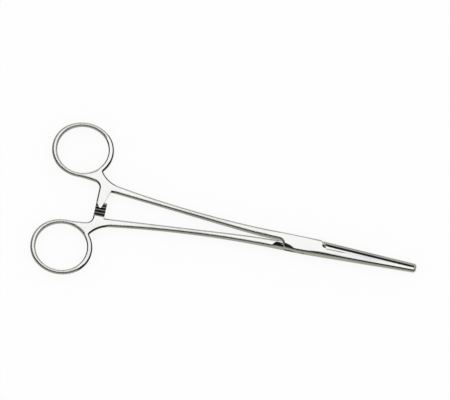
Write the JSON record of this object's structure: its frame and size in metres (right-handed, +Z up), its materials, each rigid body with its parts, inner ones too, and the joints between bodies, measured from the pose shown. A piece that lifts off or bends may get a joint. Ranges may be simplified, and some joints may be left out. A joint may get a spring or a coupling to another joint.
{
  "type": "hemostat forceps",
  "caption": "Straight locking clamp forceps with finger rings, a ratchet between the handles, a box-lock pivot and cross-serrated jaws, shown closed.",
  "frame": {"origin": "on the pivot axis, at the flat underside of the box lock that the closed instrument lies on", "axes": "+X from the finger rings to the jaw tips along the middle line, +Y to the handle of the slotted half, +Z up out of the flat side along the pivot"},
  "size_m": [0.2007, 0.0832, 0.0058],
  "materials": {
    "polished_steel": "polished stainless steel with fine polishing marks"
  },
  "bodies": {
    "box_side": {"box_half": "polished_steel", "pivot_pin": "polished_steel"},
    "male_side": {"male_half": "polished_steel"}
  },
  "joints": [
    {"name": "pivot", "type": "hinge", "parent": "box_side", "child": "male_side", "pos_m": [0, 0, 0.0029], "axis": [0, 0, 1], "range_deg": [0, 60]}
  ]
}
